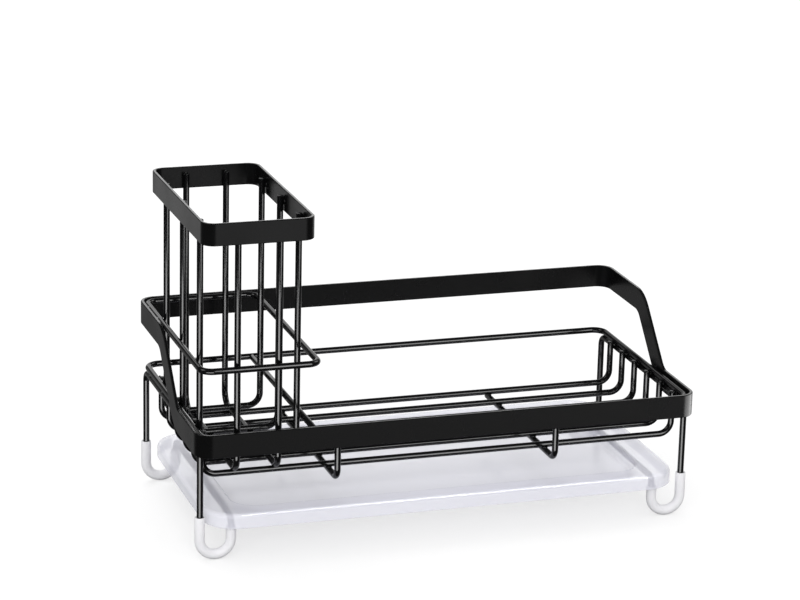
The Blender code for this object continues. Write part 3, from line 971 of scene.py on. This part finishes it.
    def holder_joints(self):
        """Return the joints of the holder's wires with its band and with each other."""
        band = sizes().band_thickness
        band_z = (HOLDER_LOW.z + HOLDER_HIGH.z) / 2
        long_nodes = ["holder_long_wire_1", "holder_long_wire_2"]
        long_x = [node_middle(node).x for node in long_nodes]
        long_top = wide_box(long_nodes[0])[0].z + sizes().wire_thickness
        joints = []
        for node, x in zip(long_nodes, long_x):
            low, high = wide_box(node)
            gaps = ((low.y + HOLDER_LOW.y + band) / 2, (high.y + HOLDER_HIGH.y - band) / 2)
            joints += [joint(x, y, band_z, Y_AXIS, Z_AXIS, BAND_WELD) for y in gaps]
        for number in (1, 2, 3):
            low, high = wide_box(f"holder_side_wire_{number}")
            y = (low.y + high.y) / 2
            gaps = ((low.x + HOLDER_LOW.x + band) / 2, (high.x + HOLDER_HIGH.x - band) / 2)
            joints += [joint(x, y, band_z, X_AXIS, Z_AXIS, BAND_WELD) for x in gaps]
            joints += [joint(x, y, (long_top + low.z) / 2, Z_AXIS, X_AXIS) for x in long_x]
        return joints


# Camera fitted to the photograph
CAMERA_PLACE = (-0.55244, -1.63184, 0.65719)
CAMERA_HEADING = math.radians(-18.3677)
CAMERA_PITCH = math.radians(72.9641)
CAMERA_ROLL = math.radians(1.3906)
CAMERA_LENS = 132.4439
CAMERA_REACH = 100
SENSOR_WIDTH = 36

WHITE = (1, 1, 1, 1)
SKY_STRENGTH = 0.80

# The floor, and its glow for the camera: how far from the middle it starts and stops to grow, and
# its strength at each
FLOOR_SIZE = 24
FLOOR_ROUGHNESS = 0.9
FLOOR_SPECULAR = 0.1
GLOW_NEAR = 0.4
GLOW_FAR = 2.2
GLOW_NEAR_STRENGTH = 0.60
GLOW_FAR_STRENGTH = 0.8

# Lamps, which light the pale pieces: heading and lift in degrees, width, height and strength
LAMP_DISTANCE = 4
LAMPS = {
    "front_fill": (-24, 22, 3.4, 1.6, 5.1),
    "top_softbox": (-165, 64, 2.6, 2.6, 2.2),
}

# Soft boxes that show only in the gloss of one piece, or of the pieces of one material:
# its name, heading and lift in degrees, width, height and strength
GLINT_DISTANCE = 2.5
GLINTS = {
    "upright_glint": ("glossy_black_coat", -28, -17, 2.4, 1.0, 7.0),
    "long_wire_glint": ("glossy_black_coat", 20, 14, 1.1, 1.8, 6.0),
    "cross_wire_glint": ("glossy_black_coat", -175, 20, 0.8, 0.8, 0.8),
    "front_sheen": ("satin_black_coat", 19, -17, 1.6, 1.2, 0.5),
    "holder_sheen": ("holder_mouth_band", 14, -15, 1.4, 1.2, 0.6),
    "holder_side_sheen": ("holder_mouth_band", -162, -17, 1.4, 1.4, 0.22),
    "rim_sheen": ("satin_black_coat", 162, 20, 1.2, 1.2, 1.4),
    "corner_sheen": ("coated_band", 77, -15, 2.9, 1.2, 6.5),
    "tray_rim_glint": ("translucent_tray_plastic", 30, 48, 0.9, 0.9, 28.0),
    "tray_top_sheen": ("translucent_tray_plastic", 162, 17, 2.4, 1.4, 0.5),
}

# What gloss shows of the studio: a dim room, the white backdrop behind the object, and soft
# boxes, each with its heading and lift in degrees, its full and outer radius, and its strength
GLOSS_BASE = 0.05
GLOSS_BOXES = (
    (161, 5, 20, 30, 0.95),
    (-162, -17, 14, 32, 0.23),
    (135, -15, 15, 35, 1.0),
    (-95, 38, 8, 20, 3.0),
    (100, 38, 8, 20, 3.0),
)


def direction(heading, lift):
    """Return the direction at a heading from the front and a lift, both in degrees."""
    turn = math.radians(heading)
    rise = math.radians(lift)
    return Vector((math.sin(turn) * math.cos(rise), -math.cos(turn) * math.cos(rise), math.sin(rise)))


class ORGANIZER_OT_stage(bpy.types.Operator):
    """Set up the plain pale floor, the soft studio light and the camera"""

    bl_idname = "organizer.stage"
    bl_label = "Stage"

    def execute(self, context):
        self.floor()
        self.world(context.scene)
        for name, settings in LAMPS.items():
            lamp = self.lamp(name, LAMP_DISTANCE, *settings)
            lamp.visible_glossy = False
        for name, (shown_in, *settings) in GLINTS.items():
            lamp = self.lamp(name, GLINT_DISTANCE, *settings)
            lamp.visible_diffuse = False
            self.show_only_in(lamp, shown_in)
        self.let_through(bpy.data.objects["upright_glint"], "coated_band")
        self.camera(context.scene)
        context.scene.view_settings.view_transform = "Standard"
        return {"FINISHED"}

    def floor(self):
        """Lay the floor, which shows white where no shadow falls."""
        deselect()
        bpy.ops.mesh.primitive_plane_add(size=FLOOR_SIZE, location=(0, 0, 0))
        floor = bpy.context.object
        floor.name = "studio_floor"
        floor.visible_glossy = False
        floor.visible_shadow = False
        material = bpy.data.materials.new("pale_floor")
        material.use_nodes = True
        tree = material.node_tree
        shader = tree.nodes["Principled BSDF"]
        coat = {"Roughness": FLOOR_ROUGHNESS, "Specular IOR Level": FLOOR_SPECULAR}
        fill_sockets(tree, shader, {"Base Color": (*colours().floor_colour, 1), **coat})
        place = add_node(tree, "TexCoord").outputs["Object"]
        away = add_node(tree, "VectorMath", {0: place}, operation="LENGTH")
        glow = add_node(tree, "MapRange", {
            "Value": away.outputs["Value"],
            "From Min": GLOW_NEAR,
            "From Max": GLOW_FAR,
            "To Min": GLOW_NEAR_STRENGTH,
            "To Max": GLOW_FAR_STRENGTH,
        })
        seen = {0: glow.outputs["Result"], 1: self.looked_at(tree)}
        strength = add_node(tree, "Math", seen, operation="MULTIPLY").outputs["Value"]
        light = add_node(tree, "Emission", {"Strength": strength}).outputs["Emission"]
        both = add_node(tree, "AddShader", {0: shader.outputs["BSDF"], 1: light})
        fill_sockets(tree, tree.nodes["Material Output"], {"Surface": both.outputs["Shader"]})
        floor.data.materials.append(material)

    def looked_at(self, tree):
        """Return a socket that is 1 where the camera looks, also through the tray."""
        path = add_node(tree, "LightPath")
        rays = {0: path.outputs["Is Camera Ray"], 1: path.outputs["Is Transmission Ray"]}
        return add_node(tree, "Math", rays, operation="MAXIMUM").outputs["Value"]

    def world(self, scene):
        """Fill the scene with even light, a white background, and soft boxes for gloss."""
        world = bpy.data.worlds.new("studio_world")
        scene.world = world
        world.use_nodes = True
        tree = world.node_tree
        fill = tree.nodes["Background"]
        fill_sockets(tree, fill, {"Color": WHITE, "Strength": self.sky_strength(tree)})
        gloss = add_node(tree, "Background", {"Strength": self.gloss_strength(tree)})
        white = add_node(tree, "Background", {"Color": WHITE})
        lit = add_node(tree, "MixShader", {
            "Fac": add_node(tree, "LightPath").outputs["Is Glossy Ray"],
            1: fill.outputs["Background"],
            2: gloss.outputs["Background"],
        })
        shown = add_node(tree, "MixShader", {
            "Fac": self.looked_at(tree),
            1: lit.outputs["Shader"],
            2: white.outputs["Background"],
        })
        fill_sockets(tree, tree.nodes["World Output"], {"Surface": shown.outputs["Shader"]})

    def sky_strength(self, tree):
        """Return a socket with the strength of the even light, which comes from above the floor."""
        place = add_node(tree, "TexCoord").outputs["Generated"]
        rise = add_node(tree, "SeparateXYZ", {"Vector": place}).outputs["Z"]
        above = add_node(tree, "Math", {0: rise, 1: 0}, operation="GREATER_THAN").outputs["Value"]
        return add_node(tree, "Math", {0: above, 1: SKY_STRENGTH}, operation="MULTIPLY").outputs["Value"]

    def gloss_strength(self, tree):
        """Return a socket with the strength of the soft boxes in each direction of the world."""
        place = add_node(tree, "TexCoord").outputs["Generated"]
        total = GLOSS_BASE
        for heading, lift, inner, outer, strength in GLOSS_BOXES:
            sides = {0: place, 1: direction(heading, lift)}
            near = add_node(tree, "VectorMath", sides, operation="DOT_PRODUCT")
            box = add_node(tree, "MapRange", {
                "Value": near.outputs["Value"],
                "From Min": math.cos(math.radians(outer)),
                "From Max": math.cos(math.radians(inner)),
                "To Max": strength,
            }, interpolation_type="SMOOTHSTEP")
            total = add_node(tree, "Math", {0: total, 1: box.outputs["Result"]}).outputs["Value"]
        return total

    def lamp(self, name, distance, heading, lift, width, height, strength):
        """Aim a soft rectangular lamp at the object, hidden from the camera."""
        away = direction(heading, lift)
        aim = Vector((0, 0, CAD_BOUNDS[1][2] / 2))
        turned = away.to_track_quat("Z", "Y").to_euler()
        deselect()
        bpy.ops.object.light_add(type="AREA", location=aim + away * distance, rotation=turned)
        lamp = bpy.context.object
        lamp.name = name
        lamp.data.shape = "RECTANGLE"
        lamp.data.size = width
        lamp.data.size_y = height
        lamp.data.energy = strength * math.pi * width * height
        lamp.visible_camera = False
        return lamp

    def show_only_in(self, lamp, name):
        """Let the lamp reach only the piece, or the pieces of the material, of the given name."""
        pieces = bpy.data.collections.new(lamp.name)
        for piece in bpy.context.scene.objects:
            if piece.type == "MESH" and name in (piece.name, piece.data.materials[0].name):
                pieces.objects.link(piece)
        if not pieces.objects:
            raise RuntimeError(f"{lamp.name} finds nothing named {name} to show in")
        lamp.light_linking.receiver_collection = pieces

    def let_through(self, lamp, name):
        """Keep the piece of the given name from shading the lamp."""
        pieces = bpy.data.collections.new(f"past_{name}")
        pieces.objects.link(bpy.data.objects[name])
        pieces.collection_objects[0].light_linking.link_state = "EXCLUDE"
        lamp.light_linking.blocker_collection = pieces

    def camera(self, scene):
        """Stand the camera where the photograph was taken from."""
        turned = (Matrix.Rotation(CAMERA_HEADING, 3, "Z") @ Matrix.Rotation(CAMERA_PITCH, 3, "X")
                  @ Matrix.Rotation(CAMERA_ROLL, 3, "Z"))
        bpy.ops.object.camera_add(location=CAMERA_PLACE, rotation=turned.to_euler())
        camera = bpy.context.object
        camera.name = "photo_camera"
        camera.data.lens = CAMERA_LENS
        camera.data.sensor_width = SENSOR_WIDTH
        camera.data.clip_end = CAMERA_REACH
        scene.camera = camera


class ORGANIZER_PT_panel(bpy.types.Panel):
    """Lists the organizer's pieces in the sidebar"""

    bl_idname = "ORGANIZER_PT_panel"
    bl_label = "Sink organizer"
    bl_space_type = "VIEW_3D"
    bl_region_type = "UI"
    bl_category = "Organizer"

    def draw(self, context):
        for operator in OPERATORS:
            self.layout.operator(operator.bl_idname)
        for group in (context.scene.organizer_sizes, context.scene.organizer_finish):
            box = self.layout.box()
            for name in group.__annotations__:
                box.prop(group, name)


OPERATORS = (
    ORGANIZER_OT_band_frame,
    ORGANIZER_OT_basket_loops,
    ORGANIZER_OT_floor_wires,
    ORGANIZER_OT_leg_frames,
    ORGANIZER_OT_foot_sleeves,
    ORGANIZER_OT_brush_holder,
    ORGANIZER_OT_tray,
    ORGANIZER_OT_welds,
    ORGANIZER_OT_stage,
)
GROUPS = (OrganizerSizes, OrganizerFinish)


def register():
    """Register the groups, operators and panel, and give the scene its sizes and colours."""
    for item in (*GROUPS, *OPERATORS, ORGANIZER_PT_panel):
        bpy.utils.register_class(item)
    bpy.types.Scene.organizer_sizes = PointerProperty(type=OrganizerSizes)
    bpy.types.Scene.organizer_finish = PointerProperty(type=OrganizerFinish)


def unregister():
    """Take back what register adds."""
    del bpy.types.Scene.organizer_finish
    del bpy.types.Scene.organizer_sizes
    for item in (ORGANIZER_PT_panel, *reversed(OPERATORS), *reversed(GROUPS)):
        bpy.utils.unregister_class(item)


def main():
    """Build every piece in order."""
    register()
    bpy.ops.organizer.band_frame()
    bpy.ops.organizer.basket_loops()
    bpy.ops.organizer.floor_wires()
    bpy.ops.organizer.leg_frames()
    bpy.ops.organizer.foot_sleeves()
    bpy.ops.organizer.brush_holder()
    bpy.ops.organizer.tray()
    bpy.ops.organizer.welds()
    bpy.ops.organizer.stage()


if __name__ == "__main__":
    main()
